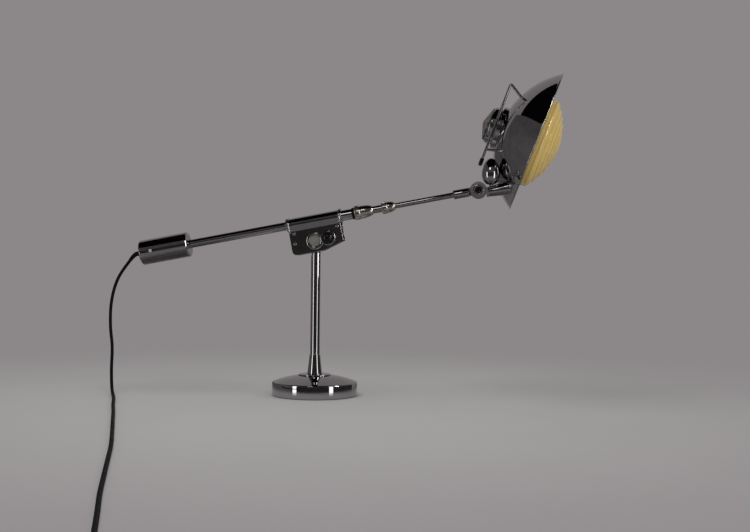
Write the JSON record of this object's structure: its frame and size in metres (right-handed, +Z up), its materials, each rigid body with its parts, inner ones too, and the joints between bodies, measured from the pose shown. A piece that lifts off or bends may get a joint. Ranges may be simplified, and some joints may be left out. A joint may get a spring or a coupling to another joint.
{
  "type": "counterbalanced telescopic lamp",
  "caption": "Chrome table lamp on a weighted round base: a tilting telescopic arm with a rear counterweight carries a bowl-shaped head with a ribbed yellow glass lens.",
  "frame": {"origin": "middle of the base's underside", "axes": "+Z up along the stem, +X along the arm towards the head, seen from -Y"},
  "size_m": [0.8586, 1.4279, 0.6096],
  "materials": {
    "chrome": "polished plating",
    "satin_steel": "plain turned steel",
    "slug_iron": "as cast",
    "felt": "dark felt",
    "bronze": "plain bearing bronze",
    "friction_fibre": "pressed fibre",
    "black_knob": "gloss black",
    "black_insulator": "black moulding",
    "switch_grey": "worn grey-brown moulding",
    "cap_brass": "lamp cap brass",
    "bulb": "frosted",
    "yellow_glass": "ribbed, warm yellow",
    "cord_rubber": "black mains cord",
    "pin_metal": "plated pins"
  },
  "bodies": {
    "base": {"base_pad": "felt", "base_weight": "slug_iron", "base_shell": "chrome", "base_flange": "chrome", "stem_ferrule": "chrome", "stem_tube": "chrome", "stem_nut": "satin_steel", "swivel_bush": "bronze"},
    "turret": {"turret_head": "satin_steel", "swivel_screw": "satin_steel", "cord_lead": "cord_rubber", "cord_coil": "cord_rubber", "coil_tie": "black_insulator", "plug_body": "cord_rubber", "plug_pins": "pin_metal"},
    "arm": {"arm_saddle": "chrome", "sleeve_tube": "chrome", "saddle_collars": "chrome", "bracket_rivets": "chrome", "pivot_bolt": "satin_steel", "pivot_cap": "chrome", "pivot_nut": "chrome", "friction_washers": "friction_fibre", "lock_stud": "satin_steel", "lock_shoes": "bronze", "lock_washer": "chrome", "arm_tube": "chrome", "counterweight": "chrome", "weight_screw": "satin_steel", "cord_gland": "cord_rubber", "collet_rear": "satin_steel"},
    "lock_knob": {"lock_knob": "black_knob"},
    "rear_nut": {"clamp_nut_rear": "chrome"},
    "middle": {"mid_tube": "chrome", "collet_front": "satin_steel"},
    "front_nut": {"clamp_nut_front": "chrome"},
    "rod": {"rod_tube": "chrome", "rod_socket": "chrome"},
    "knuckle": {"knuckle_fork": "chrome", "knuckle_bolt": "satin_steel", "knuckle_nut": "chrome"},
    "head": {"neck": "chrome", "neck_stud": "satin_steel", "neck_nut": "chrome", "bowl": "chrome", "housing_ring": "chrome", "housing_drum": "chrome", "lamp_holder": "black_insulator", "bulb_cap": "cap_brass", "bulb_glass": "bulb", "lens": "yellow_glass", "lens_ring": "chrome", "lens_posts": "chrome", "handle_wire": "chrome", "handle_tip": "black_knob"},
    "egg_knob": {"egg_knob": "chrome"},
    "switch_knob": {"switch_knob": "switch_grey"}
  },
  "joints": [
    {"name": "turret_swivel", "type": "hinge", "parent": "base", "child": "turret", "pos_m": [0, 0, 0.268], "axis": [0, 0, 1], "continuous": true},
    {"name": "arm_tilt", "type": "hinge", "parent": "turret", "child": "arm", "pos_m": [0, 0, 0.29], "axis": [0, -1, 0], "range_deg": [-25, 30], "deforming": ["cord_lead"]},
    {"name": "lock_knob_turn", "type": "hinge", "parent": "arm", "child": "lock_knob", "pos_m": [0.02535, 0, 0.29585], "axis": [0, -1, 0], "range_deg": [0, 180]},
    {"name": "rear_nut_turn", "type": "hinge", "parent": "arm", "child": "rear_nut", "pos_m": [-0.00712, 0, 0.32733], "axis": [0.9823, 0, 0.1874], "range_deg": [0, 120]},
    {"name": "middle_slide", "type": "slide", "parent": "arm", "child": "middle", "axis": [0.9823, 0, 0.1874], "range_m": [-0.015, 0.14]},
    {"name": "front_nut_turn", "type": "hinge", "parent": "middle", "child": "front_nut", "pos_m": [-0.00712, 0, 0.32733], "axis": [0.9823, 0, 0.1874], "range_deg": [0, 120]},
    {"name": "rod_slide", "type": "slide", "parent": "middle", "child": "rod", "axis": [0.9823, 0, 0.1874], "range_m": [-0.105, 0.06]},
    {"name": "knuckle_tilt", "type": "hinge", "parent": "rod", "child": "knuckle", "pos_m": [0.30328, 0, 0.38654], "axis": [0, -1, 0], "range_deg": [-60, 60]},
    {"name": "head_swivel", "type": "hinge", "parent": "knuckle", "child": "head", "pos_m": [0.30441, 0, 0.38065], "axis": [0.9823, 0, 0.1874], "range_deg": [-90, 90]},
    {"name": "egg_knob_turn", "type": "hinge", "parent": "head", "child": "egg_knob", "pos_m": [0.32602, 0, 0.38477], "axis": [0, 0, 1], "range_deg": [0, 180]},
    {"name": "switch_turn", "type": "hinge", "parent": "head", "child": "switch_knob", "pos_m": [0.41028, 0.06, 0.48254], "axis": [0.9336, 0, -0.3584], "range_deg": [0, 90]}
  ]
}
